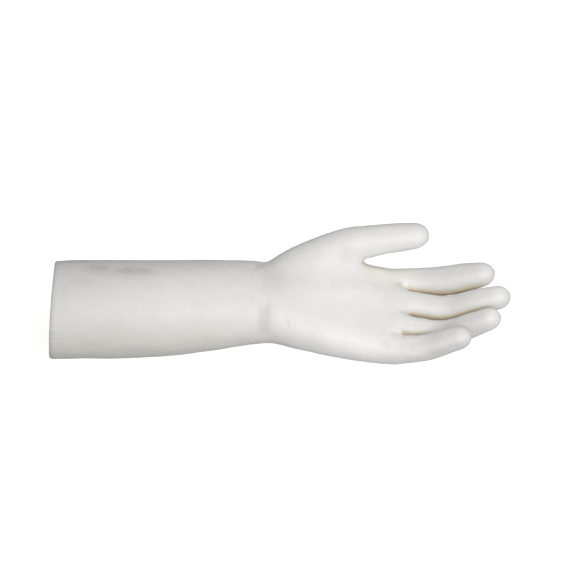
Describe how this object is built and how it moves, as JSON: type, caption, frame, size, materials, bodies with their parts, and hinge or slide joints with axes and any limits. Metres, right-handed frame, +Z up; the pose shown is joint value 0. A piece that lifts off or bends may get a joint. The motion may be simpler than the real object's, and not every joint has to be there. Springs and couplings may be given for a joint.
{
  "type": "cryogenic glove",
  "caption": "Long insulated cryogenic glove, left hand, palm up: dipped outer skin over a liner, closed by a bead at the cuff, flexing at wrist and finger joints.",
  "frame": {"origin": "centre of the bottom face of the bounding box, on the bench the glove lies on", "axes": "+X from the cuff to the fingertips, +Y towards the thumb side, +Z up out of the palm"},
  "size_m": [0.3774, 0.1212, 0.0804],
  "materials": {
    "skin": "matte, fine grained dipped elastomer",
    "liner": "soft knitted insulating liner",
    "bead": "matte dipped edge"
  },
  "bodies": {
    "gauntlet": {"cuff_bead": "bead", "gauntlet_shell": "skin", "gauntlet_liner": "liner"},
    "palm": {"palm_shell": "skin", "palm_liner": "liner"},
    "thumb_base": {"thumb_base_shell": "skin", "thumb_base_liner": "liner"},
    "thumb_tip": {"thumb_tip_shell": "skin", "thumb_tip_liner": "liner"},
    "index_proximal": {"index_proximal_shell": "skin", "index_proximal_liner": "liner"},
    "index_middle": {"index_middle_shell": "skin", "index_middle_liner": "liner"},
    "index_tip": {"index_tip_shell": "skin", "index_tip_liner": "liner"},
    "middle_proximal": {"middle_proximal_shell": "skin", "middle_proximal_liner": "liner"},
    "middle_middle": {"middle_middle_shell": "skin", "middle_middle_liner": "liner"},
    "middle_tip": {"middle_tip_shell": "skin", "middle_tip_liner": "liner"},
    "ring_proximal": {"ring_proximal_shell": "skin", "ring_proximal_liner": "liner"},
    "ring_middle": {"ring_middle_shell": "skin", "ring_middle_liner": "liner"},
    "ring_tip": {"ring_tip_shell": "skin", "ring_tip_liner": "liner"},
    "little_proximal": {"little_proximal_shell": "skin", "little_proximal_liner": "liner"},
    "little_middle": {"little_middle_shell": "skin", "little_middle_liner": "liner"},
    "little_tip": {"little_tip_shell": "skin", "little_tip_liner": "liner"}
  },
  "joints": [
    {"name": "wrist_flex", "type": "hinge", "parent": "gauntlet", "child": "palm", "pos_m": [-0.01097, -0.00425, 0.0337], "axis": [0, -1, 0], "range_deg": [-35, 35]},
    {"name": "thumb_base_flex", "type": "hinge", "parent": "palm", "child": "thumb_base", "pos_m": [0.07803, 0.04535, 0.0485], "axis": [0.1644, -0.9864, 0], "range_deg": [-10, 30]},
    {"name": "thumb_tip_flex", "type": "hinge", "parent": "thumb_base", "child": "thumb_tip", "pos_m": [0.09603, 0.04835, 0.0491], "axis": [0.1015, -0.9948, 0], "range_deg": [-12, 40]},
    {"name": "index_knuckle_flex", "type": "hinge", "parent": "palm", "child": "index_proximal", "pos_m": [0.11421, 0.02382, 0.02216], "axis": [-0.0698, -0.9976, 0], "range_deg": [-20, 45]},
    {"name": "index_middle_flex", "type": "hinge", "parent": "index_proximal", "child": "index_middle", "pos_m": [0.13098, 0.02265, 0.02423], "axis": [-0.0698, -0.9976, 0], "range_deg": [-25, 55]},
    {"name": "index_end_flex", "type": "hinge", "parent": "index_middle", "child": "index_tip", "pos_m": [0.15336, 0.02108, 0.03343], "axis": [-0.0698, -0.9976, 0], "range_deg": [-15, 33]},
    {"name": "middle_knuckle_flex", "type": "hinge", "parent": "palm", "child": "middle_proximal", "pos_m": [0.11618, 0.00046, 0.02261], "axis": [-0.0698, -0.9976, 0], "range_deg": [-20, 45]},
    {"name": "middle_middle_flex", "type": "hinge", "parent": "middle_proximal", "child": "middle_middle", "pos_m": [0.13674, -0.00098, 0.01875], "axis": [-0.0698, -0.9976, 0], "range_deg": [-25, 55]},
    {"name": "middle_end_flex", "type": "hinge", "parent": "middle_middle", "child": "middle_tip", "pos_m": [0.16094, -0.00267, 0.03362], "axis": [-0.0698, -0.9976, 0], "range_deg": [-15, 33]},
    {"name": "ring_knuckle_flex", "type": "hinge", "parent": "palm", "child": "ring_proximal", "pos_m": [0.11585, -0.023, 0.01937], "axis": [-0.0698, -0.9976, 0], "range_deg": [-20, 45]},
    {"name": "ring_middle_flex", "type": "hinge", "parent": "ring_proximal", "child": "ring_middle", "pos_m": [0.13433, -0.02429, 0.01513], "axis": [-0.0698, -0.9976, 0], "range_deg": [-25, 55]},
    {"name": "ring_end_flex", "type": "hinge", "parent": "ring_middle", "child": "ring_tip", "pos_m": [0.15638, -0.02584, 0.03173], "axis": [-0.0698, -0.9976, 0], "range_deg": [-15, 33]},
    {"name": "little_knuckle_flex", "type": "hinge", "parent": "palm", "child": "little_proximal", "pos_m": [0.10831, -0.04639, 0.02724], "axis": [-0.0698, -0.9976, 0], "range_deg": [-20, 45]},
    {"name": "little_middle_flex", "type": "hinge", "parent": "little_proximal", "child": "little_middle", "pos_m": [0.12153, -0.04731, 0.03092], "axis": [-0.0698, -0.9976, 0], "range_deg": [-25, 50]},
    {"name": "little_end_flex", "type": "hinge", "parent": "little_middle", "child": "little_tip", "pos_m": [0.13822, -0.04848, 0.04316], "axis": [-0.0698, -0.9976, 0], "range_deg": [-15, 33]}
  ],
  "couplings": [
    {"joint": "index_end_flex", "follows": "index_middle_flex", "ratio": 0.6},
    {"joint": "middle_end_flex", "follows": "middle_middle_flex", "ratio": 0.6},
    {"joint": "ring_end_flex", "follows": "ring_middle_flex", "ratio": 0.6},
    {"joint": "little_end_flex", "follows": "little_middle_flex", "ratio": 0.6}
  ]
}
